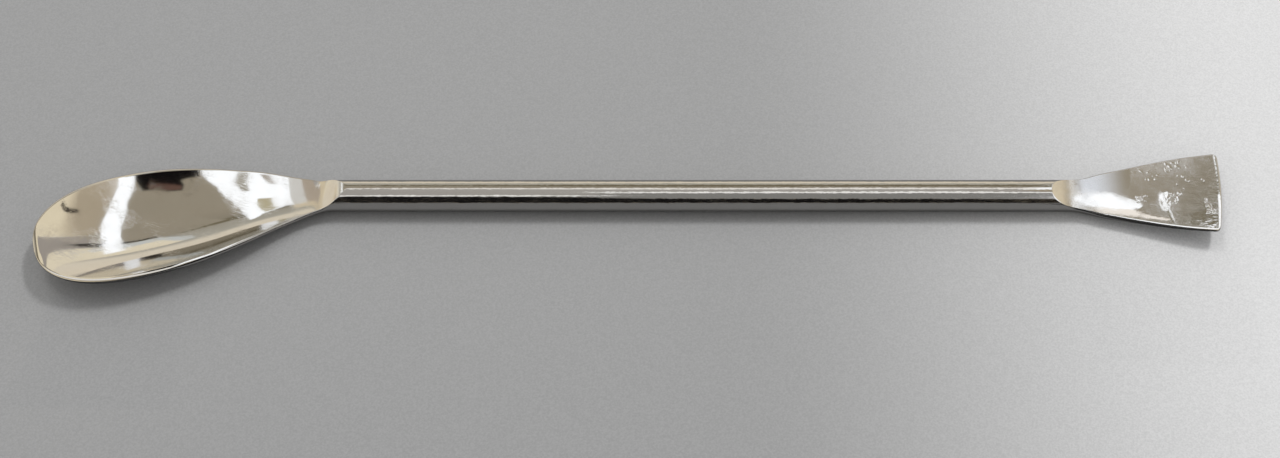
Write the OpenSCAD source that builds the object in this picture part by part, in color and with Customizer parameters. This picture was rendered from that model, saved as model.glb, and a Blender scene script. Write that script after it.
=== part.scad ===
// Lab spatula: one round steel rod, forged into an oval spoon at one end and into
// a flared flat blade at the other. Millimetres. X runs along the rod from the spoon
// to the blade, Z is up, and the origin is on the rod's axis, midway along the rod.

/* [Rod] */
// Diameter of the round rod
rod_d = 5.4; // [4:0.1:8]
// Length of round rod between the two scarfs
rod_len = 119.1; // [60:0.1:220]

/* [Neck] */
// Length from the start of the neck's scarf to the start of the bowl's flare
neck_len = 5.6; // [4.5:0.1:14]
// Length over which the scarf falls from the top of the rod
neck_scarf = 5.4; // [3:0.1:7]
// Height above the rod's axis that the scarf falls to
neck_land = 0.3; // [0:0.05:0.8]
// Length over which the face then sinks to the neck's edges
neck_sink = 8; // [5:0.5:12]
// How far the neck's edges lie below the rod's axis
neck_dip = 0.3; // [0:0.05:1]
// Roll of the neck's flat, which runs out along the bowl
neck_roll = 4; // [0:1:15]
// Sideways bend of the bowl, as the forging left it
bend_angle = 16.5; // [0:0.5:25]
// Radius of that bend, which starts with the scarf, on the spoon's centre line
bend_radius = 60; // [30:1:90]

/* [Bowl] */
// Greatest width of the bowl over its rim
bowl_w = 21.8; // [14:0.1:30]
// Length from the neck to the bowl's widest point
bowl_flare = 30; // [20:0.1:45]
// Length from the widest point to the tip
bowl_tip = 16.8; // [12:0.1:25]
// Height of the rim above the rod's axis at the tip
rim_rise = 3; // [1.5:0.1:5]
// Width of the rounded rim
rim_w = 0.7; // [0.5:0.05:1.2]
// Thickness of the bowl's wall at its deepest point
bowl_wall = 1.2; // [0.8:0.05:1.8]
// Length of keel that curves up to the tip
keel_run = 18; // [14:0.5:30]
// Distance from the tip to the deepest point of the hollow
deep_run = 20; // [12:0.5:28]

/* [Blade] */
// Length from the start of the blade's scarf to the end
blade_len = 29.2; // [16:0.1:50]
// Width that the blade flares out to
blade_w = 16.6; // [8:0.1:24]
// Length of the scarf at the blade's root
blade_scarf = 7; // [4:0.1:10]
// Height of the blade's face above the rod's axis, just past its scarf
blade_land = 0.5; // [0:0.05:1]
// How much higher the face lies at the end
blade_rise = 0.9; // [0:0.05:2]
// Thickness of the blade's edges at its root
blade_root_edge = 1.5; // [1:0.05:2]
// Thickness of the blade at its end
blade_end_t = 0.95; // [0.7:0.05:1.5]
// Depth of the dish in the blade's face
blade_dish = 0.25; // [0:0.05:0.5]
// Width of the rounding along the blade's edges
blade_lip = 0.4; // [0.2:0.05:0.6]
// Radius of the two corners at the end
blade_corner = 0.8; // [0.5:0.1:3]
// Roll of the scarf at the root, which runs out towards the end
blade_twist = 14; // [0:1:20]
// Slant of the end edge
end_slant = 8; // [0:0.5:12]
// How far the middle of the end edge stands out beyond its corners
end_bow = 0.6; // [0:0.05:1.5]

/* [Hidden] */

rod_r = rod_d / 2;
// The forged ends start this far inside the rod, and this much thinner than it
root_lap = 1;
root_step = 0.02;
forged_r = rod_r - root_step;
// Half angle of the narrow flat that a scarf starts from
scarf_start = 6;

// Shares of a half section: across its face, round its edge, and under it
face_steps = 8;
edge_steps = 4;
under_steps = face_steps + edge_steps;

// Roundness of the bowl's plan at the tip: 2 is an ellipse
tip_fullness = 2.35;
// Fullness of the bowl's sections: 1 is a parabola, 0.5 is an ellipse
hollow_fullness = 1;
skin_fullness = 0.6;
blade_fullness = 0.4;
// Softness of the corner where the neck turns into the flare and the hollow
flare_softness = 0.1;
// How fast the hollow falls at the neck: 1 is an even slope, 2 is a parabola
hollow_fall = 3;
// How much of the blade's flare lies before its scarf, and beyond its end
blade_flare_lead = 1.5;
blade_flare_over = 2.5;
// Length of bowl over which the neck's roll runs out
roll_run = 15;
// Share of a scarf that passes before its section leaves the round
neck_lag = 1 / 4;
blade_lag = 1 / 3;
// Share of the neck's scarf that passes before its face sinks on
sink_lag = 1 / 2;
// Largest share of the bowl's half width that the rim takes, near the tip
rim_share = 0.6;
// Share of the blade's thickness that is rounded off each face at its end
end_share = 1 / 3;
// Least length of bend, so that a straight spoon still has a heading
least_arc = 0.001;

bowl_len = bowl_flare + bowl_tip;
spoon_len = neck_len + bowl_len;
rim_h = rim_rise + neck_dip;
bend_arc = bend_radius * bend_angle * PI / 180;

function mix(a, b, t) = a + (b - a) * t;
function unit(t) = max(0, min(1, t));
function ease(t) = let (u = unit(t)) u * u * (3 - 2 * u);
function ease_out(t) = 1 - pow(1 - unit(t), 2);
// Rises from 0 to 1, starting softly
function soft_ramp(t, soft) = (t + sqrt(t * t + soft * soft)) / (1 + sqrt(1 + soft * soft));
function dome(t, fullness) = pow(max(0, 1 - pow(unit(t), fullness)), 1 / fullness);

// The spoon's lines, by distance q along it from the start of the scarf

function spoon_half_w(q) =
    let (s = q - neck_len, out = unit(soft_ramp(s / bowl_flare, flare_softness)))
    s < bowl_flare ? mix(forged_r, bowl_w / 2, sin(90 * out))
                   : bowl_w / 2 * dome((s - bowl_flare) / bowl_tip, tip_fullness);

// Height of the scarf's face, which falls fast and then sinks on
function neck_z(q) =
    let (sink = ease((q - neck_scarf * sink_lag) / neck_sink))
    mix(forged_r, neck_land, ease(q / neck_scarf)) - (neck_land + neck_dip) * sink;

function rim_z(q) =
    neck_z(q) + rim_h * ease_out(soft_ramp((q - neck_len) / bowl_len, flare_softness));

function keel_z(q) =
    let (up = (q - (spoon_len - keel_run)) / keel_run)
    mix(-forged_r, rim_rise - rim_w, 1 - dome(up, 2));

// Height of the hollow's middle line, which falls fastest at the neck
function hollow_z(q) =
    let (
        deep = spoon_len - deep_run,
        out = unit(soft_ramp((q - neck_scarf) / (deep - neck_scarf), flare_softness)),
        in_tip = (q - deep) / (deep_run - rim_w)
    )
    mix(mix(bowl_wall - forged_r, neck_z(q), pow(1 - out, hollow_fall)), rim_rise, pow(unit(in_tip), 2));

// Share of the tip's rounding at q: 0 along the bowl, 1 at the very tip
function tip_round(q) = 1 - dome((q - (spoon_len - rim_w)) / rim_w, 2);

// Half sections as [across, up], from the middle of the face to the middle of the underside

// The rod, with a flat cut across it at height z
function rod_section(z) =
    let (
        crease = asin(min(z / forged_r, cos(scarf_start))),
        edge = min(0, crease - scarf_start),
        half = forged_r * cos(crease)
    )
    concat(
        [for (k = [0:face_steps])
            let (y = half * sin(90 * k / face_steps)) [y, min(z, sqrt(forged_r * forged_r - y * y))]],
        [for (j = [1:edge_steps])
            let (a = mix(crease, edge, j / edge_steps)) forged_r * [cos(a), sin(a)]],
        [for (m = [1:under_steps])
            let (a = mix(edge, -90, m / under_steps)) forged_r * [cos(a), sin(a)]]
    );

// A face that sinks from its edges to its middle, a rounded edge and a curved underside
function forged_section(half, lip, top, middle, edge, bottom, face_full, under_full) =
    concat(
        [for (k = [0:face_steps])
            let (a = 90 * k / face_steps)
            [(half - lip) * sin(a), mix(top, middle, pow(cos(a), 2 * face_full))]],
        [for (j = [1:edge_steps])
            let (a = 90 * j / edge_steps)
            [half - lip * (1 - sin(a)), mix(edge, top, cos(a))]],
        [for (m = [1:under_steps])
            let (a = 90 * m / under_steps)
            [half * cos(a), mix(edge, bottom, pow(sin(a), 2 * under_full))]]
    );

function bowl_section(q) =
    let (
        half = spoon_half_w(q),
        round_off = rim_w / 2 * tip_round(q),
        rim = rim_z(q) - round_off,
        keel = keel_z(q) + round_off,
        lip = min(mix(rim_w / 2, rim_w, ease((q - neck_len) / bowl_flare)), rim_share * half)
    )
    forged_section(half, lip, rim, min(rim, hollow_z(q)), max(keel, rim - rim_w / 2), keel,
                   hollow_fullness, skin_fullness);

function blade_half_w(p) =
    let (run = blade_flare_lead + blade_len + blade_flare_over)
    mix(forged_r, blade_w / 2, ease((p + blade_flare_lead) / run));

function blade_top_z(p) =
    mix(forged_r, blade_land, ease_out(p / blade_scarf)) + blade_rise * pow(unit(p / blade_len), 2);

function blade_bottom_z(p) =
    mix(-forged_r, blade_land + blade_rise - blade_end_t, ease(p / blade_len));

// Share of the end's rounding at p: 0 along the blade, 1 at the very end
function end_round(p) = 1 - dome((p - (blade_len - blade_corner)) / blade_corner, 2);

function blade_section(p) =
    let (
        half = blade_half_w(p) - blade_corner * end_round(p),
        round_off = blade_end_t * end_share * end_round(p),
        top = blade_top_z(p) - round_off,
        edge_t = mix(blade_root_edge, blade_end_t, unit(p / blade_len))
    )
    forged_section(half, blade_lip, top, top - blade_dish, top - edge_t / 2 + round_off / 2,
                   blade_bottom_z(p) + round_off, 1, blade_fullness);

// Both sides of a half section, as one ring round the section
function whole(half) =
    let (last = len(half) - 1)
    concat(half, [for (i = [last - 1:-1:1]) [-half[i][0], half[i][1]]]);

function blend(from, to, t) = [for (i = [0:len(from) - 1]) mix(from[i], to[i], t)];

// Rings in space

// A point of a section, turned about the rod's axis so that its +Y side lifts
function rolled(v, a) = [v[0] * cos(a) - v[1] * sin(a), v[0] * sin(a) + v[1] * cos(a)];

// Point of the spoon's centre line, and its heading, at q
function spoon_heading(q) = bend_angle * unit(q / max(bend_arc, least_arc));
function spoon_centre(q) =
    let (a = spoon_heading(q), before = min(q, 0), after = max(0, q - bend_arc))
    [-(before + bend_radius * sin(a) + after * cos(a)),
     -(bend_radius * (1 - cos(a)) + after * sin(a))];

function spoon_ring(q) =
    let (
        a = spoon_heading(q),
        centre = spoon_centre(q),
        roll = neck_roll * (1 - ease((q - neck_len) / roll_run)),
        share = ease((q - neck_scarf * neck_lag) / neck_len),
        ring = whole(blend(rod_section(neck_z(q)), bowl_section(q), share))
    )
    [for (v = ring)
        let (u = rolled(v, roll))
        [centre[0] - u[0] * sin(a) - rod_len / 2, centre[1] + u[0] * cos(a), u[1]]];

function blade_ring(p) =
    let (
        roll = blade_twist * (1 - ease(p / blade_len)),
        share = ease((p - blade_scarf * blade_lag) / blade_scarf),
        out = pow(unit(p / blade_len), 3),
        half = blade_half_w(p),
        ring = whole(blend(rod_section(blade_top_z(p)), blade_section(p), share))
    )
    [for (v = ring)
        let (u = rolled(v, roll), along = v[0] * tan(end_slant) - end_bow * pow(v[0] / half, 2))
        [rod_len / 2 + p + out * along, u[0], u[1]]];

// Solid through a row of rings that runs towards +X, with a strip of faces over each end
module loft(rings) {
    n = len(rings[0]);
    steps = 2 * under_steps;
    left = n - under_steps;
    last = n * (len(rings) - 1);
    function over(i) = (left + i) % n;
    function under(i) = left - i;
    skin = [for (row = [0:n:last - n], i = [0:n - 1])
        let (a = row + i, b = row + (i + 1) % n)
        each [[a, b, b + n], [a, b + n, a + n]]];
    lid = concat([for (i = [0:steps - 2]) [over(i), over(i + 1), under(i + 1)]],
                 [for (i = [1:steps - 1]) [over(i), under(i + 1), under(i)]]);
    polyhedron(
        points = [for (r = rings) each r],
        faces = concat(skin,
                       [for (f = lid) [f[2], f[1], f[0]]],
                       [for (f = lid) [for (v = f) last + v]])
    );
}

// Stations along the forged ends

// Rows of rings along the neck, the bowl and its tip, and along the blade and its end
neck_rows = 16;
bowl_rows = 16;
tip_rows = 14;
blade_rows = 22;
end_rows = 5;
// The last ring stops this far round the quarter turn at the tip or at a corner
last_turn = 87;

neck_end = neck_len + neck_scarf;
widest = neck_len + bowl_flare;
spoon_stations = concat(
    [-root_lap],
    [for (i = [0:neck_rows]) mix(0, neck_end, i / neck_rows)],
    [for (i = [1:bowl_rows]) mix(neck_end, widest, i / bowl_rows)],
    [for (i = [1:tip_rows]) widest + bowl_tip * sin(last_turn * i / tip_rows)]
);
corner_start = blade_len - blade_corner;
blade_stations = concat(
    [-root_lap],
    [for (i = [0:blade_rows]) mix(0, corner_start, i / blade_rows)],
    [for (i = [1:end_rows]) corner_start + blade_corner * sin(last_turn * i / end_rows)]
);

// The pieces of the forging

module rod() {
    translate([-rod_len / 2, 0, 0])
        rotate([0, 90, 0])
            cylinder(d = rod_d, h = rod_len, $fn = 96);
}

module spoon() {
    rows = len(spoon_stations);
    loft([for (i = [rows - 1:-1:0]) spoon_ring(spoon_stations[i])]);
}

module blade() {
    loft([for (p = blade_stations) blade_ring(p)]);
}

module spatula() {
    color("silver")
        union() {
            rod();
            spoon();
            blade();
        }
}

spatula();
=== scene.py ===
"""Polished steel lab spatula, lying on a plain grey table."""
import random
from math import asin, cos, degrees, exp, radians, sin, sqrt, tan

import bmesh
import bpy
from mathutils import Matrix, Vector


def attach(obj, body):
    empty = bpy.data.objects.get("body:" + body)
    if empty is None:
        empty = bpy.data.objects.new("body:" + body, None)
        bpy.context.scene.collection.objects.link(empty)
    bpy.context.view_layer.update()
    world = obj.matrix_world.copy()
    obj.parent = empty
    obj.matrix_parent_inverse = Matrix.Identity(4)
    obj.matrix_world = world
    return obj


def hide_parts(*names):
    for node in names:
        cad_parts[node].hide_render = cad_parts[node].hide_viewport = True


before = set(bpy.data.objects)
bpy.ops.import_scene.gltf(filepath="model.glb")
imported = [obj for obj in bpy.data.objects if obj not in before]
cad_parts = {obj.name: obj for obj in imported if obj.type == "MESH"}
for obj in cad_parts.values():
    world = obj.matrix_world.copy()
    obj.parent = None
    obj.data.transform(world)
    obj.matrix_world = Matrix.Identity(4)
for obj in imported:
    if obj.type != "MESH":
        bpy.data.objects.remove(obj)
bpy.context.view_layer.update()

# Sizes of the forging, in millimetres and degrees, as the solid has them.
# A lag is a share of a scarf's length, and a fullness says how far a curve bulges.

MM = 0.001
# The round rod, and the turn by which a scarf's edge leaves it
ROD_R = 2.7
ROD_LEN = 119.1
SCARF_START = 6
# The neck, with its scarf, its sink into the hollow, its roll about the rod and the bend in plan
NECK_LEN = 5.6
NECK_SCARF = 5.4
NECK_LAND = 0.3
NECK_SINK = 8
NECK_DIP = 0.3
NECK_ROLL = 4
NECK_LAG = 1 / 4
SINK_LAG = 1 / 2
BEND_ANGLE = 16.5
BEND_RADIUS = 60
# The bowl, with its rim, its hollow and the keel below
BOWL_W = 21.8
BOWL_FLARE = 30
BOWL_TIP = 16.8
RIM_RISE = 3
RIM_W = 0.7
RIM_SHARE = 0.6
BOWL_WALL = 1.2
KEEL_RUN = 18
DEEP_RUN = 20
ROLL_RUN = 15
FLARE_SOFTNESS = 0.1
TIP_FULLNESS = 2.35
HOLLOW_FULLNESS = 1
HOLLOW_FALL = 3
SKIN_FULLNESS = 0.6
# The blade, with its scarf, its dished face and its slanted, bowed end
BLADE_LEN = 29.2
BLADE_W = 16.6
BLADE_SCARF = 7
BLADE_LAG = 1 / 3
BLADE_LAND = 0.5
BLADE_RISE = 0.9
BLADE_ROOT_EDGE = 1.5
BLADE_END_T = 0.95
BLADE_DISH = 0.25
BLADE_LIP = 0.4
BLADE_CORNER = 0.8
BLADE_TWIST = 14
BLADE_FULLNESS = 0.4
BLADE_FLARE_LEAD = 1.5
BLADE_FLARE_OVER = 2.5
END_SLANT = 8
END_BOW = 0.6
END_SHARE = 1 / 3

HALF_ROD = ROD_LEN / 2
BOWL_LEN = BOWL_FLARE + BOWL_TIP
SPOON_LEN = NECK_LEN + BOWL_LEN
RIM_H = RIM_RISE + NECK_DIP
BEND_ARC = BEND_RADIUS * radians(BEND_ANGLE)
TABLE_Z = -ROD_R * MM

# Steps round a half section, and rows of rings along the forging
FACE_STEPS = 44
EDGE_STEPS = 10
UNDER_STEPS = FACE_STEPS + EDGE_STEPS
NECK_ROWS = 60
BOWL_ROWS = 56
TIP_ROWS = 44
ROD_ROWS = 8
BLADE_ROWS = 150
END_ROWS = 14
LAST_TURN = 88.5

# Roughness of the polish in the bowl, on the neck, along the rod, on the blade's face and on its worn root
BOWL_GRAIN = 0.06
NECK_GRAIN = 0.13
ROD_GRAIN = 0.16
BLADE_GRAIN = 0.13
ROOT_GRAIN = 0.35
# Lengths over which the rod's polish runs out past the start of each scarf
NECK_GRAIN_RUN = 9
BLADE_GRAIN_RUN = 12
FACE_GRAIN_RUN = 0.4
# Where the worn root starts on the blade's face, over what length it sets in, and where it ends
ROOT_GRAIN_FROM = 2.5
ROOT_GRAIN_RISE = 3
ROOT_GRAIN_RUN = 16

# Material slots: the bowl's mirror polish and the rod's turned polish
MIRROR, TURNED = 0, 1


def mix(a, b, t):
    return a + (b - a) * t


def unit(t):
    return max(0.0, min(1.0, t))


def ease(t):
    u = unit(t)
    return u * u * (3 - 2 * u)


def ease_out(t):
    return 1 - (1 - unit(t)) ** 2


def soft_ramp(t, soft):
    return (t + sqrt(t * t + soft * soft)) / (1 + sqrt(1 + soft * soft))


def dome(t, fullness):
    return max(0.0, 1 - unit(t) ** fullness) ** (1 / fullness)


def sin_deg(a):
    return sin(radians(a))


def cos_deg(a):
    return cos(radians(a))


# The spoon's lines, by distance q along it from the start of its scarf

def spoon_half_w(q):
    s = q - NECK_LEN
    if s < BOWL_FLARE:
        out = unit(soft_ramp(s / BOWL_FLARE, FLARE_SOFTNESS))
        return mix(ROD_R, BOWL_W / 2, sin_deg(90 * out))
    return BOWL_W / 2 * dome((s - BOWL_FLARE) / BOWL_TIP, TIP_FULLNESS)


def neck_z(q):
    sink = ease((q - NECK_SCARF * SINK_LAG) / NECK_SINK)
    return mix(ROD_R, NECK_LAND, ease(q / NECK_SCARF)) - (NECK_LAND + NECK_DIP) * sink


def rim_z(q):
    return neck_z(q) + RIM_H * ease_out(soft_ramp((q - NECK_LEN) / BOWL_LEN, FLARE_SOFTNESS))


def keel_z(q):
    up = (q - (SPOON_LEN - KEEL_RUN)) / KEEL_RUN
    return mix(-ROD_R, RIM_RISE - RIM_W, 1 - dome(up, 2))


def hollow_z(q):
    deep = SPOON_LEN - DEEP_RUN
    out = unit(soft_ramp((q - NECK_SCARF) / (deep - NECK_SCARF), FLARE_SOFTNESS))
    floor = mix(BOWL_WALL - ROD_R, neck_z(q), (1 - out) ** HOLLOW_FALL)
    return mix(floor, RIM_RISE, unit((q - deep) / (DEEP_RUN - RIM_W)) ** 2)


def tip_round(q):
    """Share of the tip's rounding at q: 0 along the bowl, 1 at the very tip."""
    return 1 - dome((q - (SPOON_LEN - RIM_W)) / RIM_W, 2)


# Half sections as (across, up), from the middle of the face to the middle of the underside

def rod_section(z):
    """The rod, with a flat cut across it at height z."""
    crease = degrees(asin(min(z / ROD_R, cos_deg(SCARF_START))))
    edge = min(0, crease - SCARF_START)
    half = ROD_R * cos_deg(crease)
    across = [half * sin_deg(90 * k / FACE_STEPS) for k in range(FACE_STEPS + 1)]
    points = [(y, min(z, sqrt(ROD_R ** 2 - y ** 2))) for y in across]
    turns = [mix(crease, edge, j / EDGE_STEPS) for j in range(1, EDGE_STEPS + 1)]
    turns += [mix(edge, -90, m / UNDER_STEPS) for m in range(1, UNDER_STEPS + 1)]
    return points + [(ROD_R * cos_deg(a), ROD_R * sin_deg(a)) for a in turns]


def forged_section(half, lip, top, middle, edge, bottom, face_full, under_full):
    """A face that sinks from its edges to its middle, a rounded edge and a curved underside."""
    points = []
    for k in range(FACE_STEPS + 1):
        a = 90 * k / FACE_STEPS
        points.append(((half - lip) * sin_deg(a), mix(top, middle, cos_deg(a) ** (2 * face_full))))
    for j in range(1, EDGE_STEPS + 1):
        a = 90 * j / EDGE_STEPS
        points.append((half - lip * (1 - sin_deg(a)), mix(edge, top, cos_deg(a))))
    for m in range(1, UNDER_STEPS + 1):
        a = 90 * m / UNDER_STEPS
        points.append((half * cos_deg(a), mix(edge, bottom, sin_deg(a) ** (2 * under_full))))
    return points


def bowl_section(q):
    half = spoon_half_w(q)
    round_off = RIM_W / 2 * tip_round(q)
    rim, keel = rim_z(q) - round_off, keel_z(q) + round_off
    lip = min(mix(RIM_W / 2, RIM_W, ease((q - NECK_LEN) / BOWL_FLARE)), RIM_SHARE * half)
    return forged_section(half, lip, rim, min(rim, hollow_z(q)), max(keel, rim - RIM_W / 2), keel,
                          HOLLOW_FULLNESS, SKIN_FULLNESS)


def blade_half_w(p):
    run = BLADE_FLARE_LEAD + BLADE_LEN + BLADE_FLARE_OVER
    return mix(ROD_R, BLADE_W / 2, ease((p + BLADE_FLARE_LEAD) / run))


def blade_top_z(p):
    return mix(ROD_R, BLADE_LAND, ease_out(p / BLADE_SCARF)) + BLADE_RISE * unit(p / BLADE_LEN) ** 2


def blade_bottom_z(p):
    return mix(-ROD_R, BLADE_LAND + BLADE_RISE - BLADE_END_T, ease(p / BLADE_LEN))


def end_round(p):
    """Share of the end's rounding at p: 0 along the blade, 1 at the very end."""
    return 1 - dome((p - (BLADE_LEN - BLADE_CORNER)) / BLADE_CORNER, 2)


def blade_section(p):
    half = blade_half_w(p) - BLADE_CORNER * end_round(p)
    round_off = BLADE_END_T * END_SHARE * end_round(p)
    top = blade_top_z(p) - round_off
    edge_t = mix(BLADE_ROOT_EDGE, BLADE_END_T, unit(p / BLADE_LEN))
    return forged_section(half, BLADE_LIP, top, top - BLADE_DISH, top - edge_t / 2 + round_off / 2,
                          blade_bottom_z(p) + round_off, 1, BLADE_FULLNESS)


def whole(half):
    """Both sides of a half section, as one ring round the section."""
    return half + [(-across, up) for across, up in half[-2:0:-1]]


def blend(start, end, t):
    return [(mix(a[0], b[0], t), mix(a[1], b[1], t)) for a, b in zip(start, end)]


def rolled(v, a):
    """A point of a section, turned about the rod's axis so that its +Y side lifts."""
    turn = radians(a)
    return v[0] * cos(turn) - v[1] * sin(turn), v[0] * sin(turn) + v[1] * cos(turn)


# Rings in space, in metres

def spoon_ring(q):
    heading = radians(BEND_ANGLE * unit(q / BEND_ARC))
    after = max(0, q - BEND_ARC)
    centre_x = -(BEND_RADIUS * sin(heading) + after * cos(heading)) - HALF_ROD
    centre_y = -(BEND_RADIUS * (1 - cos(heading)) + after * sin(heading))
    roll = NECK_ROLL * (1 - ease((q - NECK_LEN) / ROLL_RUN))
    share = ease((q - NECK_SCARF * NECK_LAG) / NECK_LEN)
    ring = []
    for v in whole(blend(rod_section(neck_z(q)), bowl_section(q), share)):
        across, up = rolled(v, roll)
        ring.append(MM * Vector((centre_x - across * sin(heading), centre_y + across * cos(heading), up)))
    return ring


def blade_ring(p):
    roll = BLADE_TWIST * (1 - ease(p / BLADE_LEN))
    share = ease((p - BLADE_SCARF * BLADE_LAG) / BLADE_SCARF)
    out = unit(p / BLADE_LEN) ** 3
    half = blade_half_w(p)
    ring = []
    for v in whole(blend(rod_section(blade_top_z(p)), blade_section(p), share)):
        across, up = rolled(v, roll)
        along = v[0] * tan(radians(END_SLANT)) - END_BOW * (v[0] / half) ** 2
        ring.append(MM * Vector((HALF_ROD + p + out * along, across, up)))
    return ring


def rod_ring(t):
    """A ring of the round rod, turned from the neck's roll to the blade's."""
    roll = mix(NECK_ROLL, BLADE_TWIST, t)
    x = mix(-HALF_ROD, HALF_ROD, t)
    turned = [rolled(v, roll) for v in whole(rod_section(ROD_R))]
    return [MM * Vector((x, across, up)) for across, up in turned]


def spoon_stations():
    neck_end, widest = NECK_LEN + NECK_SCARF, NECK_LEN + BOWL_FLARE
    rows = [neck_end * i / NECK_ROWS for i in range(NECK_ROWS + 1)]
    rows += [mix(neck_end, widest, i / BOWL_ROWS) for i in range(1, BOWL_ROWS + 1)]
    rows += [widest + BOWL_TIP * sin_deg(LAST_TURN * i / TIP_ROWS) for i in range(1, TIP_ROWS + 1)]
    return rows


def blade_stations():
    corner = BLADE_LEN - BLADE_CORNER
    rows = [corner * i / BLADE_ROWS for i in range(BLADE_ROWS + 1)]
    return rows + [corner + BLADE_CORNER * sin_deg(LAST_TURN * i / END_ROWS) for i in range(1, END_ROWS + 1)]


def forging_rows():
    """Rings from the spoon's tip to the blade's end, each with the roughness of its face and of its sides,
    and with its distance along the spoon, which is 0 on the rod and the blade."""
    rows = []
    for q in reversed(spoon_stations()):
        hollow = mix(NECK_GRAIN, BOWL_GRAIN, ease((q - NECK_SINK) / NECK_SINK))
        face = mix(ROD_GRAIN, hollow, unit(q / FACE_GRAIN_RUN))
        rows.append((spoon_ring(q), face, mix(ROD_GRAIN, BOWL_GRAIN, ease(q / NECK_GRAIN_RUN)), q))
    for i in range(1, ROD_ROWS):
        rows.append((rod_ring(i / ROD_ROWS), ROD_GRAIN, ROD_GRAIN, 0))
    for p in blade_stations():
        worn = ease((p - ROOT_GRAIN_FROM) / ROOT_GRAIN_RISE) * (1 - ease(p / ROOT_GRAIN_RUN))
        face = mix(BLADE_GRAIN, ROOT_GRAIN, worn)
        rows.append((blade_ring(p), face, mix(ROD_GRAIN, BOWL_GRAIN, ease(p / BLADE_GRAIN_RUN)), 0))
    return rows


def on_face(i, n):
    """Whether point i of a ring of n lies on the upper face."""
    return i <= FACE_STEPS or i >= n - FACE_STEPS


def draw_on(bm, ring, points):
    """Extrudes the open ring once more, and sets the new ring on the points."""
    edges = [bm.edges.get((ring[i - 1], ring[i])) for i in range(len(ring))]
    made = bmesh.ops.extrude_edge_only(bm, edges=edges)["geom"]
    grown = {part for part in made if isinstance(part, bmesh.types.BMVert)}
    fresh = [next(e.other_vert(v) for e in v.link_edges if e.other_vert(v) in grown) for v in ring]
    for v, point in zip(fresh, points):
        v.co = point
    return fresh


def zip_end(bm, ring):
    """Closes an end: the upper side of its ring is welded to the lower side."""
    n = len(ring)
    left = n - UNDER_STEPS
    pairs = {ring[(left + i) % n]: ring[left - i] for i in range(1, 2 * UNDER_STEPS)}
    for upper, lower in pairs.items():
        lower.co = (upper.co + lower.co) / 2
    bmesh.ops.weld_verts(bm, targetmap=pairs)


# Knocks in the blade's face, in millimetres: distance along the blade, place across it,
# half length, half width, heading from the blade's length in degrees, depth
HOOK = [
    (19.2, -1.4, 1.5, 0.55, 86, 0.16),
    (19.5, -2.9, 0.5, 0.32, 60, 0.05),
    (19.9, -4.2, 1.25, 0.17, 100, 0.06),
    (20.9, -0.6, 0.7, 0.13, 128, 0.03),
]
# Fields of small pits: middle along and across the blade, half spread each way, number
PIT_FIELDS = [
    (15.8, -1.2, 1.0, 1.0, 14),
    (20.9, -0.9, 1.3, 1.2, 22),
    (21.6, 5.4, 1.4, 0.8, 14),
    (26.6, -3.0, 0.6, 1.6, 14),
    (17.6, 3.6, 1.6, 0.8, 7),
    (24.2, 3.4, 2.4, 2.6, 9),
]
# Half widths of the pits, how much longer they are, their headings, and their depth as a share of the width
PIT_SIZES = (0.09, 0.2)
PIT_STRETCH = (1, 2.2)
PIT_HEADINGS = (30, 150)
PIT_STEEPNESS = 0.27
PIT_SEED = 7


def strew_pits():
    """Small pits of chance size and heading, strewn over their fields."""
    chance = random.Random(PIT_SEED)
    pits = []
    for along, across, reach, width, number in PIT_FIELDS:
        for _ in range(number):
            size = chance.uniform(*PIT_SIZES)
            pit_along = along + reach * chance.uniform(-1, 1)
            pit_across = across + width * chance.uniform(-1, 1)
            length = size * chance.uniform(*PIT_STRETCH)
            heading = chance.uniform(*PIT_HEADINGS)
            pits.append((pit_along, pit_across, length, size, heading, size * PIT_STEEPNESS))
    return pits


KNOCKS = HOOK + strew_pits()
# How far round a knock the face is cut finer, in half lengths of the knock, and into how many cuts
KNOCK_REACH = 2.2
KNOCK_CUTS = 2
# How far up the faces look that are cut, and the points that sink
CUT_LEAN = 0.8
SINK_LEAN = 0.5
# The duller patch round the hook: its place along and across the blade, its reach and the roughness it adds
HAZE_AT = (20.6, -2.2)
HAZE_REACH = 2
HAZE_GRAIN = 0.06


def from_spot(at, along, across):
    """How far a point lies from a spot on the blade, along and across it, in millimetres."""
    return at.x / MM - HALF_ROD - along, at.y / MM - across


def knock_depth(at):
    depth = 0
    for along, across, length, width, heading, deep in KNOCKS:
        dx, dy = from_spot(at, along, across)
        turn = radians(heading)
        u = dx * cos(turn) + dy * sin(turn)
        v = dy * cos(turn) - dx * sin(turn)
        depth += deep * exp(-(u / length) ** 2 - (v / width) ** 2)
    return depth


def haze(at):
    dx, dy = from_spot(at, *HAZE_AT)
    return HAZE_GRAIN * exp(-(dx * dx + dy * dy) / HAZE_REACH ** 2)


def near_knock(at):
    """Whether a point lies within reach of a knock."""
    for along, across, length, *_ in KNOCKS:
        dx, dy = from_spot(at, along, across)
        if dx * dx + dy * dy < (KNOCK_REACH * length) ** 2:
            return True
    return False


def knock_blade(bm):
    """Cuts the blade's face finer round each knock, sinks the knocks and dulls the face round the hook."""
    grain = bm.verts.layers.float["grain"]
    root_x = HALF_ROD * MM
    bm.normal_update()
    near = []
    for face in bm.faces:
        at = face.calc_center_median()
        if at.x > root_x and face.normal.z > CUT_LEAN and near_knock(at):
            near.append(face)
    edges = list(dict.fromkeys(e for face in near for e in face.edges))
    bmesh.ops.subdivide_edges(bm, edges=edges, cuts=KNOCK_CUTS, use_grid_fill=True)
    bm.normal_update()
    for v in bm.verts:
        if v.co.x > root_x and v.normal.z > SINK_LEAN:
            v[grain] += haze(v.co)
            v.co.z -= knock_depth(v.co) * MM


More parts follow.
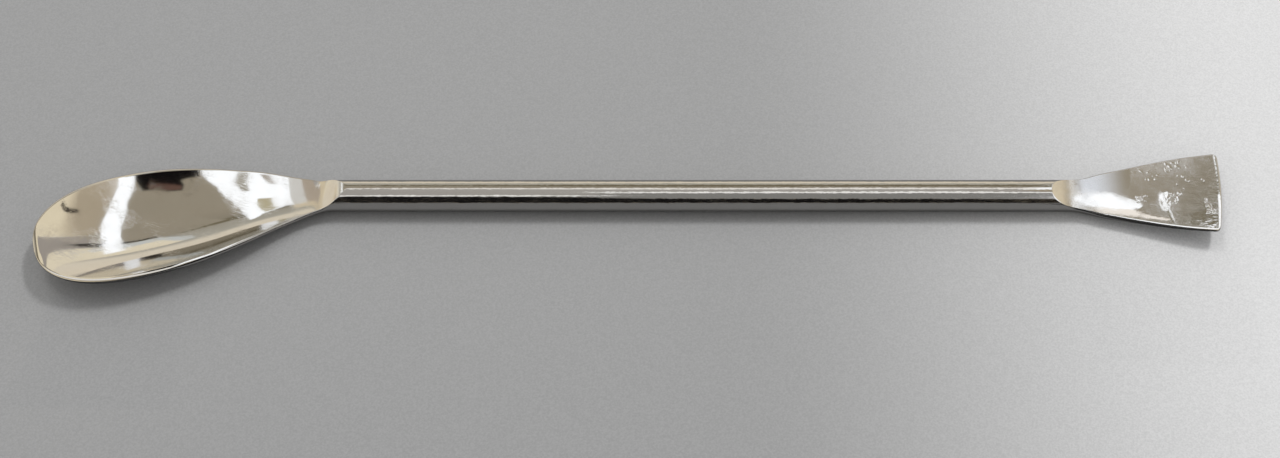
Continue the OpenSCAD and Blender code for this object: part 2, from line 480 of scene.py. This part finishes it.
def forge_spatula():
    """The whole skin, drawn out ring by ring from the spoon's tip to the blade's end."""
    rows = forging_rows()
    n = len(rows[0][0])
    bm = bmesh.new()
    grain = bm.verts.layers.float.new("grain")
    first = bmesh.ops.create_circle(bm, segments=n, radius=ROD_R * MM)["verts"]
    for v, point in zip(first, rows[0][0]):
        v.co = point
        v[grain] = rows[0][1]
    ring = first
    for points, face_grain, side_grain, q in rows[1:]:
        fresh = draw_on(bm, ring, points)
        for i, v in enumerate(fresh):
            v[grain] = face_grain if on_face(i, n) else side_grain
            quad = bm.faces.get((ring[i - 1], ring[i], v, fresh[i - 1]))
            in_face = on_face(i, n) and on_face((i - 1) % n, n)
            quad.material_index = MIRROR if q > NECK_GRAIN_RUN or (q > 0 and in_face) else TURNED
        ring = fresh
    zip_end(bm, first)
    zip_end(bm, ring)
    bmesh.ops.recalc_face_normals(bm, faces=bm.faces)
    knock_blade(bm)
    for face in bm.faces:
        face.smooth = True
    mesh = bpy.data.meshes.new("spatula_skin")
    bm.to_mesh(mesh)
    bm.free()
    piece = bpy.data.objects.new("spatula_skin", mesh)
    bpy.context.scene.collection.objects.link(piece)
    return piece


# Small helpers for node trees

def add_node(tree, kind, values=None, **settings):
    """A node with the given settings, and with values or links on its inputs."""
    node = tree.nodes.new(kind)
    for key, value in settings.items():
        setattr(node, key, value)
    for key, value in (values or {}).items():
        if isinstance(value, bpy.types.NodeSocket):
            tree.links.new(value, node.inputs[key])
        else:
            node.inputs[key].default_value = value
    return node


def maths(tree, operation, *values):
    return add_node(tree, "ShaderNodeMath", dict(enumerate(values)), operation=operation).outputs["Value"]


def map_range(tree, value, start, end, low=0, high=1, course="LINEAR"):
    """A value carried from one range over to another."""
    ends = {"Value": value, "From Min": start, "From Max": end, "To Min": low, "To Max": high}
    return add_node(tree, "ShaderNodeMapRange", ends, interpolation_type=course).outputs["Result"]


def mix_colours(tree, share, first, second):
    colours = {"Factor": share, "A": first, "B": second}
    return add_node(tree, "ShaderNodeMix", colours, data_type="RGBA").outputs["Result"]


def noise(tree, place, scale, detail, roughness=0.5):
    values = {"Vector": place, "Scale": scale, "Detail": detail, "Roughness": roughness}
    return add_node(tree, "ShaderNodeTexNoise", values).outputs["Fac"]


def draw_out(tree, place, along, across):
    """Places scaled by one value along X and by another across it."""
    stretch = add_node(tree, "ShaderNodeCombineXYZ", {"X": along, "Y": across, "Z": across})
    values = {0: place, 1: stretch.outputs["Vector"]}
    return add_node(tree, "ShaderNodeVectorMath", values, operation="MULTIPLY").outputs["Vector"]


def split_place(tree, place):
    return add_node(tree, "ShaderNodeSeparateXYZ", {"Vector": place}).outputs


def new_material(name):
    """An empty material, its node tree and its shader."""
    material = bpy.data.materials.new(name)
    material.use_nodes = True
    tree = material.node_tree
    return material, tree, tree.nodes["Principled BSDF"]


def new_group(name, inputs, outputs):
    """An empty shader group with the given sockets, and its input and output nodes."""
    group = bpy.data.node_groups.new(name, "ShaderNodeTree")
    for socket, kind, value in inputs:
        made = group.interface.new_socket(socket, in_out="INPUT", socket_type=kind)
        if value is not None:
            made.default_value = value
    for socket, kind in outputs:
        group.interface.new_socket(socket, in_out="OUTPUT", socket_type=kind)
    return group, group.nodes.new("NodeGroupInput"), group.nodes.new("NodeGroupOutput")


# Finishes. Sizes of patterns are counts to the metre, and heights are in metres.

# Hairline scratches: counts along and across them, the share of the noise that makes a line,
# the detail and roughness of that noise, and the patches in which they show
LINE_LENGTH = 90
LINE_FINENESS = 3200
LINE_WIDTH = 0.03
LINE_NOISE = (2, 0.6)
LINE_PATCHES = 260
LINE_PATCH_RANGE = (0.45, 0.65)
# The middle value of a noise
NOISE_MIDDLE = 0.5


def hairlines_group():
    """Fine polishing scratches: thin lines drawn out along X, as a mask and as a height."""
    group, into, out = new_group(
        "hairlines",
        [("Place", "NodeSocketVector", None), ("Turn", "NodeSocketVector", (0, 0, 0)),
         ("Length", "NodeSocketFloat", LINE_LENGTH), ("Fineness", "NodeSocketFloat", LINE_FINENESS),
         ("Width", "NodeSocketFloat", LINE_WIDTH)],
        [("Mask", "NodeSocketFloat"), ("Height", "NodeSocketFloat")])
    place = into.outputs["Place"]
    turned = add_node(group, "ShaderNodeVectorRotate", {"Vector": place, "Rotation": into.outputs["Turn"]},
                      rotation_type="EULER_XYZ")
    drawn = draw_out(group, turned.outputs["Vector"], into.outputs["Length"], into.outputs["Fineness"])
    away = maths(group, "SUBTRACT", noise(group, drawn, 1, *LINE_NOISE), NOISE_MIDDLE)
    line = map_range(group, maths(group, "ABSOLUTE", away), 0, into.outputs["Width"], 1, 0)
    some = map_range(group, noise(group, place, LINE_PATCHES, 1), *LINE_PATCH_RANGE)
    mask = maths(group, "MULTIPLY", line, some)
    group.links.new(mask, out.inputs["Mask"])
    group.links.new(maths(group, "SUBTRACT", 1, mask), out.inputs["Height"])
    return group


# The polish's waves: default counts along and across X, and their detail
WAVES_ALONG = 300
WAVES_ACROSS = 600
WAVE_DETAIL = 2
# The mottle: its count, and the detail and roughness of its noise
MOTTLE_SCALE = 420
MOTTLE_NOISE = (3, 0.6)


def polish_waves_group():
    """The slow unevenness that hand polishing leaves, as a height and a mottle."""
    group, into, out = new_group(
        "polish_waves",
        [("Place", "NodeSocketVector", None), ("Along", "NodeSocketFloat", WAVES_ALONG),
         ("Across", "NodeSocketFloat", WAVES_ACROSS), ("Detail", "NodeSocketFloat", WAVE_DETAIL)],
        [("Height", "NodeSocketFloat"), ("Mottle", "NodeSocketFloat")])
    place = into.outputs["Place"]
    drawn = draw_out(group, place, into.outputs["Along"], into.outputs["Across"])
    group.links.new(noise(group, drawn, 1, into.outputs["Detail"]), out.inputs["Height"])
    group.links.new(noise(group, place, MOTTLE_SCALE, *MOTTLE_NOISE), out.inputs["Mottle"])
    return group


STEEL_PALE = (0.68, 0.67, 0.655, 1)
STEEL_WARM = (0.63, 0.615, 0.59, 1)
# The part of the mottle that changes the roughness, and the roughness that a hairline adds
MOTTLE_RANGE = (0.35, 0.65)
LINE_ROUGHNESS = 0.08
# A quarter turn, which lays the brushing along the rod
BRUSH_TURN = 0.25
# Both polishes: counts of waves along and across X, their height, the mottle's share of the roughness,
# the hairlines' depth and their turn about Z, and how strongly the gloss is brushed
MIRROR_POLISH = {
    "wave_counts": (260, 260), "wave_height": 0.000008, "mottle_share": 0.2,
    "line_depth": 0.0000024, "line_turn": 0.3, "brushing": 0,
}
TURNED_POLISH = {
    "wave_counts": (900, 1500), "wave_height": 0.000025, "mottle_share": 0.25,
    "line_depth": 0.0000006, "line_turn": 0, "brushing": 0.95,
}


def steel(name, hairlines, waves, wave_counts, wave_height, mottle_share, line_depth, line_turn, brushing):
    """Steel whose roughness comes from the piece's grain, with hairlines, waves and a faint mottle."""
    material, tree, shader = new_material(name)
    place = add_node(tree, "ShaderNodeTexCoord").outputs["Object"]
    grain = add_node(tree, "ShaderNodeAttribute", attribute_name="grain").outputs["Fac"]
    lines = add_node(tree, "ShaderNodeGroup", node_tree=hairlines)
    lines.inputs["Turn"].default_value = (0, 0, line_turn)
    wave = add_node(tree, "ShaderNodeGroup", node_tree=waves)
    wave.inputs["Along"].default_value, wave.inputs["Across"].default_value = wave_counts
    for node in (lines, wave):
        tree.links.new(place, node.inputs["Place"])
    mottle = wave.outputs["Mottle"]
    tree.links.new(mix_colours(tree, mottle, STEEL_PALE, STEEL_WARM), shader.inputs["Base Color"])
    cloud = map_range(tree, mottle, *MOTTLE_RANGE, 1 - mottle_share, 1 + mottle_share)
    dull = maths(tree, "MULTIPLY", grain, cloud)
    rough = maths(tree, "MULTIPLY_ADD", lines.outputs["Mask"], LINE_ROUGHNESS, dull)
    tree.links.new(rough, shader.inputs["Roughness"])
    swell = add_node(tree, "ShaderNodeBump", {"Height": wave.outputs["Height"], "Strength": 1,
                                              "Distance": wave_height})
    cut = add_node(tree, "ShaderNodeBump", {"Height": lines.outputs["Height"], "Strength": 1,
                                            "Distance": line_depth, "Normal": swell.outputs["Normal"]})
    tree.links.new(cut.outputs["Normal"], shader.inputs["Normal"])
    shader.inputs["Metallic"].default_value = 1
    if brushing:
        around = add_node(tree, "ShaderNodeTangent", direction_type="RADIAL", axis="X")
        tree.links.new(around.outputs["Tangent"], shader.inputs["Tangent"])
        shader.inputs["Anisotropic"].default_value = brushing
        shader.inputs["Anisotropic Rotation"].default_value = BRUSH_TURN
    return material


def finish_spatula(spatula):
    hairlines = hairlines_group()
    waves = polish_waves_group()
    spatula.data.materials.append(steel("mirror_steel", hairlines, waves, **MIRROR_POLISH))
    spatula.data.materials.append(steel("turned_steel", hairlines, waves, **TURNED_POLISH))


# Camera and table

CAMERA_AT = Vector((-10.05, -184.81, 244.74)) * MM
CAMERA_AIM = Vector((-10.05, -6.99, 0)) * MM
CAMERA_LENS = 50.625
CAMERA_SENSOR = 36
CAMERA_NEAREST = 0.01


def set_camera():
    data = bpy.data.cameras.new("camera")
    data.sensor_fit = "HORIZONTAL"
    data.sensor_width = CAMERA_SENSOR
    data.lens = CAMERA_LENS
    data.clip_start = CAMERA_NEAREST
    camera = bpy.data.objects.new("camera", data)
    camera.location = CAMERA_AT
    camera.rotation_euler = (CAMERA_AIM - CAMERA_AT).to_track_quat("-Z", "Y").to_euler()
    bpy.context.scene.collection.objects.link(camera)
    bpy.context.scene.camera = camera


def flat_sheet(name, corners, z):
    """A level sheet with the given corners, in metres."""
    bm = bmesh.new()
    bm.faces.new([bm.verts.new((x, y, z)) for x, y in corners])
    mesh = bpy.data.meshes.new(name)
    bm.to_mesh(mesh)
    bm.free()
    sheet = bpy.data.objects.new(name, mesh)
    bpy.context.scene.collection.objects.link(sheet)
    return sheet


TABLE_REACH = 4
TABLE_GREY = (0.42, 0.42, 0.42, 1)
# The grey the table is painted towards its right: painted light
TABLE_LIT_PALE = (0.85, 0.85, 0.85, 1)
# The table's colour in the steel's reflection: painted shade, darker than the table itself
TABLE_MIRRORED_SHADE = (0.25, 0.25, 0.25, 1)
# Where along X the table starts and ends growing paler, in metres: painted light, standing in for the
# brighter light on the table's right
TABLE_LIGHT_FADE = (0.003, 0.107)
# The table's fine grain: its count to the metre, the part of the noise that shows, and its share of the grey
TABLE_GRAIN = 3500
TABLE_GRAIN_RANGE = (0.3, 0.7)
TABLE_GRAIN_SHARE = 0.07
TABLE_ROUGHNESS = 0.6
TABLE_SPECULAR = 0.2


def lay_table():
    """A grey sheet with painted light that makes it paler to the right, and with painted shade that makes it
    look darker in the steel than to the eye.
    """
    reach = TABLE_REACH
    table = flat_sheet("table", [(-reach, -reach), (reach, -reach), (reach, reach), (-reach, reach)], TABLE_Z)
    material, tree, shader = new_material("table_grey")
    place = add_node(tree, "ShaderNodeTexCoord").outputs["Object"]
    # Painted light: the table's colour grows paler to the right
    fade = map_range(tree, split_place(tree, place)["X"], *TABLE_LIGHT_FADE, course="SMOOTHSTEP")
    shade = mix_colours(tree, fade, TABLE_GREY, TABLE_LIT_PALE)
    speck = map_range(tree, noise(tree, place, TABLE_GRAIN, 1), *TABLE_GRAIN_RANGE,
                      1 - TABLE_GRAIN_SHARE, 1 + TABLE_GRAIN_SHARE)
    grained = add_node(tree, "ShaderNodeVectorMath", {0: shade, "Scale": speck}, operation="SCALE")
    # Painted shade: glossy rays see the table darker than the camera does
    mirrored = add_node(tree, "ShaderNodeLightPath").outputs["Is Glossy Ray"]
    colour = mix_colours(tree, mirrored, grained.outputs["Vector"], TABLE_MIRRORED_SHADE)
    tree.links.new(colour, shader.inputs["Base Color"])
    shader.inputs["Roughness"].default_value = TABLE_ROUGHNESS
    shader.inputs["Specular IOR Level"].default_value = TABLE_SPECULAR
    table.data.materials.append(material)


# Glowing cards that only the steel's gloss sees, which paint the reflections, highlights and dark bands in
# the steel: name, colour, height and corners in millimetres.
# Those that come later hang a hair lower, and cover the earlier ones of their height.

WHITE = (1.52, 1.57, 1.64)
LINE_WHITE = (1.2, 1.19, 1.17)
SOFT_WHITE = (1.02, 1.0, 0.96)
ROOM_BROWN = (0.41, 0.365, 0.285)
TIP_BROWN = (0.55, 0.47, 0.35)
DARK = (0.006, 0.005, 0.005)
HIGH = 450
LOW = 20
STRIP_LOW = 14
END_LOW = 6
NECK_LOW = 4
BLADE_LOW = 3
UNDER = -1.8
CARD_STEP = 0.02
CARDS = [
    # Far lights that the blade's knocks and edges catch
    ("right_light", WHITE, HIGH, [(290, 122), (490, 122), (490, 330), (290, 330)]),
    ("front_light", WHITE, HIGH, [(90, -68), (900, -68), (900, -162), (90, -162)]),
    ("middle_light", WHITE, HIGH, [(-40, 200), (100, 200), (100, 420), (-40, 420)]),
    ("back_light", WHITE, HIGH, [(120, 430), (330, 430), (330, 540), (120, 540)]),
    # Over the bowl, from its tip to its neck
    ("bowl_brown", ROOM_BROWN, LOW, [(-99, 2), (-90, 2), (-88, 14), (-99.4, 14)]),
    ("tip_tan", (1.0, 0.89, 0.67), LOW, [
        (-112, -14), (-99.6, -14), (-99, -6), (-98.6, -2), (-98.2, 0.5), (-98.4, 3.9), (-99.7, 4.7),
        (-102.1, 6), (-112, 7)]),
    ("tip_brown", TIP_BROWN, LOW, [
        (-99.6, -14), (-95, -14), (-95, -9.3), (-95.7, -7), (-96.6, -2.9), (-97.2, 0.1), (-97.6, 2.7),
        (-98.4, 3.9), (-98.2, 0.5), (-98.6, -2), (-99, -6)]),
    ("tip_mauve", (0.45, 0.41, 0.37), LOW, [
        (-112, 7), (-102.1, 6), (-99.7, 4.7), (-98.4, 3.9), (-98.7, 7), (-99.4, 10.3), (-100.2, 11.5),
        (-101, 12.1), (-112, 12.5)]),
    ("tip_cream", (1.0, 0.9, 0.7), LOW, [
        (-112, 12.5), (-101, 12.1), (-100.2, 11.5), (-100, 12.5), (-101, 16), (-101.3, 22), (-102, 30),
        (-112, 30)]),
    ("near_pale", (0.72, 0.75, 0.74), LOW, [
        (-100, 12.5), (-99.6, 12), (-97.5, 22), (-100, 30), (-102, 30), (-101.3, 22), (-101, 16)]),
    # Two dark cards that paint dark spots into the bowl's reflection near its tip
    ("tip_dark_spot", (0.06, 0.05, 0.04), LOW, [
        (-101, -3.7), (-100.2, -2.8), (-99.2, -2.5), (-98.5, -2.9), (-98.5, -3.7), (-99.4, -3.5),
        (-100.2, -3.7), (-100.7, -4.4)]),
    ("tip_dot", (0.04, 0.035, 0.03), LOW, [(-99.8, 8), (-99.1, 8.2), (-98.9, 12), (-99.8, 11.6)]),
    ("far_dark", DARK, LOW, [
        (-93.1, -14), (-93.2, -7.4), (-91.5, -6.4), (-90.8, -5.6), (-88.8, -4.8), (-88.3, -5.9),
        (-88.6, -6.8), (-86.1, -7), (-86.1, -14)]),
    ("far_dark_brown", (0.16, 0.09, 0.07), LOW, [
        (-92.7, -7.3), (-91.5, -6.6), (-90.8, -5.8), (-88.9, -5), (-88.6, -5.8), (-90.4, -6.8), (-92.4, -8)]),
    ("neck_white", WHITE, LOW, [
        (-86.1, -14), (-85.8, -7.4), (-84, -3.9), (-83.1, 1.7), (-83.5, 7.4), (-85.6, 16.2), (-89.1, 27.6),
        (-87.5, 26), (-84.3, 20), (-80, 16), (-77.5, 13), (-75, 4), (-75, -14)]),
    ("far_wedge", (0.5, 0.47, 0.4), LOW, [(-82, -8.5), (-80.6, -8.5), (-80.2, -1.7), (-81, -1), (-82, -5)]),
    ("rim_wedge", (0.55, 0.5, 0.44), LOW, [
        (-79.6, -8.5), (-78.4, -8.5), (-77.4, -5), (-77.1, -3.9), (-77.9, -4.4)]),
    ("neck_tan", (0.62, 0.56, 0.38), LOW, [
        (-79.9, 3), (-78.2, 3.7), (-79.2, 9), (-80.3, 15), (-83, 18), (-81.5, 10)]),
    ("long_white", WHITE, STRIP_LOW, [
        (-96.2, -9), (-96.2, -5.7), (-96.8, -5.1), (-97.8, -3.3), (-98.3, -1.8), (-98.6, -0.3), (-99.1, 2.3),
        (-100.2, 6.6), (-101.8, 12.8), (-100.6, 11.8), (-98.5, 4.7), (-97.3, 0.5), (-96.8, -1.3), (-96, -3),
        (-95.4, -4.7), (-94, -5.5), (-93.6, -9)]),
    ("neck_pale", (0.85, 0.84, 0.81), NECK_LOW, [(-71.2, -3), (-69.2, -3), (-69.2, 2.45), (-71.2, 2.45)]),
    ("neck_brown", (0.55, 0.47, 0.38), NECK_LOW, [(-69.2, -3), (-66.8, -3), (-66.8, 2.45), (-69.2, 2.45)]),
    ("neck_edge", (0.85, 0.73, 0.52), NECK_LOW, [(-71.5, 2.45), (-66.3, 2.45), (-66.3, 3.8), (-71.5, 3.8)]),
    # Along the rod
    ("rod_grey", (0.28, 0.275, 0.265), LOW, [
        (-73, -3.5), (66, -3.5), (80, -34), (-8, -30), (-25, -19), (-78, -18), (-73, -10)]),
    ("rod_left_grey", (0.46, 0.44, 0.41), LOW, [
        (-73, -3.5), (-14, -3.5), (-18, -13), (-75, -13), (-73, -10)]),
    ("rod_gap", (0.48, 0.46, 0.43), LOW, [(-73, -3.6), (66, -3.6), (66, 4), (60, 4), (0, 2.5), (-73, 2.5)]),
    ("rod_far_line", (1.12, 1.09, 1.04), LOW, [
        (-73, 2.5), (0, 2.5), (60, 4), (68, 4.5), (70, 9), (60, 8.2), (0, 6), (-73, 5.8)]),
    ("rod_brown", ROOM_BROWN, LOW, [(-73, 5.8), (0, 6), (60, 8.2), (66, 8.6), (66, 13), (-73, 12)]),
    ("rod_olive", (0.2, 0.17, 0.11), LOW, [(-73, 12), (66, 13), (66, 22), (-73, 20)]),
    ("rod_near_line", LINE_WHITE, LOW, [(-20, -3.8), (66, -3.4), (68, -6.4), (-16, -6.6)]),
    ("rod_left_line", LINE_WHITE, LOW, [(-75, -13), (-20, -13), (-14, -14.5), (-22, -17), (-78, -16.5)]),
    ("rod_dark", DARK, LOW, [
        (-78, -17.5), (-25, -19), (-8, -30), (80, -34), (1500, -2500), (-1500, -2500)]),
    # In front of both ends, and past the blade's end
    ("spoon_front", SOFT_WHITE, LOW, [(-130, -15), (-82, -15), (-82, -26), (-130, -26)]),
    ("blade_front", WHITE, LOW, [(68, -4.5), (130, -4.5), (130, -28), (68, -28)]),
    ("blade_end", WHITE, END_LOW, [(89.4, -9), (98, -9), (98, 3.4), (91.2, 3.4), (89.6, 2.4)]),
    # Under the near edges of both ends: dark sheets just above the table, which paint the shade under those
    # edges into the steel's reflection
    ("blade_under_shade", (0.03, 0.03, 0.03), UNDER, [(64, -4.5), (90, -8.4), (92, -32), (64, -32)]),
    ("spoon_under_shade", (0.05, 0.05, 0.05), UNDER, [(-106, -17.5), (-85, -15), (-85, -40), (-112, -40)]),
    # Just above the blade's root: glowing cards that paint the root's bright, cream and bluish reflections, a
    # painted highlight
    ("root_blue", (0.98, 1.03, 1.12), BLADE_LOW, [
        (65.3, 5), (65.4, 2.5), (65.8, 1.2), (66.1, 0.4), (70, 0.9), (71.6, 0.5), (73.4, 0.2), (74.5, 2.5),
        (74.5, 5)]),
    ("root_cream", (1.25, 1.18, 1.1), BLADE_LOW, [
        (68, -1.2), (73.4, -1.7), (74.6, -2.3), (76.6, -3.1), (79.6, -4), (79.4, -4.3), (76.4, -3.7),
        (74.9, -3.3), (71.5, -2.6), (68, -2)]),
    ("root_white", WHITE, BLADE_LOW, [
        (65.2, -0.5), (66, 0.1), (67, 0.5), (68.3, 0.7), (69.3, 0.9), (70.6, 0.8), (71.7, 0.4), (73.8, -0.2),
        (75.2, -0.7), (75.5, -1.3), (75, -1.7), (73.4, -1.9), (70.8, -1.7), (68.6, -1.4), (66.9, -1.3),
        (66, -1.4)]),
    # Just above the hook-shaped dent: a glowing card that paints the dent's bright highlight
    ("hook_light", WHITE, BLADE_LOW, [
        (79.9, 1.2), (79.3, 1), (79, 0.2), (78.8, -0.8), (78.9, -1.9), (79.2, -2.2), (79.5, -1.6),
        (79.5, -0.6), (79.6, 0.3), (80.1, 0.9)]),
]
# Cards that fade along X: the colour they end on, and where the fade starts and ends
FADES = {
    "tip_tan": (TIP_BROWN, -100.4, -98.3),
    "tip_brown": ((0.85, 0.8, 0.72), -96.5, -95.1),
    "root_blue": (ROOM_BROWN, 67.5, 74),
}


def hang_card(name, colour, height, corners):
    card = flat_sheet(name, [(x * MM, y * MM) for x, y in corners], height * MM)
    material, tree, shader = new_material(name)
    tree.nodes.remove(shader)
    glow = add_node(tree, "ShaderNodeEmission", {"Color": (*colour, 1)})
    if name in FADES:
        last, start, end = FADES[name]
        place = add_node(tree, "ShaderNodeTexCoord").outputs["Object"]
        fade = map_range(tree, split_place(tree, place)["X"], start * MM, end * MM, course="SMOOTHSTEP")
        tree.links.new(mix_colours(tree, fade, (*colour, 1), (*last, 1)), glow.inputs["Color"])
    tree.links.new(glow.outputs["Emission"], tree.nodes["Material Output"].inputs["Surface"])
    card.data.materials.append(material)
    card.visible_camera = False
    card.visible_diffuse = False
    card.visible_transmission = False
    card.visible_shadow = False


def hang_cards():
    for step, (name, colour, height, corners) in enumerate(CARDS):
        hang_card(name, colour, height - CARD_STEP * step, corners)


# The walls that the steel mirrors past the cards, by the height of the direction,
# and the even light on everything else

OLIVE = (0.22, 0.19, 0.125)
BEHIND = [
    (0.0, (0.55, 0.5, 0.42)), (0.09, (0.92, 0.82, 0.66)), (0.34, (0.9, 0.82, 0.68)),
    (0.42, (0.52, 0.5, 0.43)), (0.66, (0.46, 0.43, 0.36)), (0.69, OLIVE), (0.74, OLIVE),
    (0.79, (0.36, 0.32, 0.25)), (1.0, ROOM_BROWN),
]
BESIDE = [
    (0.0, (0.7, 0.6, 0.42)), (0.1, (1.0, 0.87, 0.64)), (0.5, (0.95, 0.82, 0.6)),
    (0.62, (0.5, 0.43, 0.32)), (0.8, (0.42, 0.365, 0.28)), (1.0, ROOM_BROWN),
]
# How far back a direction points where the walls beside turn into the wall behind
WALL_TURN = (0.25, 0.5)
ROOM_LIGHT = (0.48, 0.48, 0.48, 1)


def colour_ramp(tree, height, stops):
    ramp = add_node(tree, "ShaderNodeValToRGB", {"Fac": height})
    first, last = ramp.color_ramp.elements
    first.position, first.color = stops[0][0], (*stops[0][1], 1)
    last.position, last.color = stops[-1][0], (*stops[-1][1], 1)
    for position, colour in stops[1:-1]:
        ramp.color_ramp.elements.new(position).color = (*colour, 1)
    return ramp.outputs["Color"]


def paint_room():
    world = bpy.data.worlds.new("room")
    world.use_nodes = True
    tree = world.node_tree
    heading = split_place(tree, add_node(tree, "ShaderNodeTexCoord").outputs["Generated"])
    beside = colour_ramp(tree, heading["Z"], BESIDE)
    behind = colour_ramp(tree, heading["Z"], BEHIND)
    walls = mix_colours(tree, map_range(tree, heading["Y"], *WALL_TURN), beside, behind)
    mirrored = add_node(tree, "ShaderNodeLightPath").outputs["Is Glossy Ray"]
    seen = mix_colours(tree, mirrored, ROOM_LIGHT, walls)
    tree.links.new(seen, tree.nodes["Background"].inputs["Color"])
    bpy.context.scene.world = world


# Lamps above and behind the table, in metres and watts: name, place, width and length, power

KEYS = [
    ("key_right", (0.4, 0.36, 1.0), (0.12, 0.25), 4.2),
    ("key_left", (-0.28, 0.3, 1.0), (0.12, 0.6), 1.5),
]


def hang_keys():
    for name, at, size, power in KEYS:
        data = bpy.data.lights.new(name, "AREA")
        data.shape = "RECTANGLE"
        data.size, data.size_y = size
        data.energy = power
        key = bpy.data.objects.new(name, data)
        key.location = at
        key.visible_glossy = False
        key.visible_camera = False
        bpy.context.scene.collection.objects.link(key)


bpy.context.scene.view_settings.view_transform = "Standard"
set_camera()
lay_table()
paint_room()
hang_cards()
hang_keys()

spatula = forge_spatula()
finish_spatula(spatula)
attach(spatula, "root")
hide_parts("spatula")
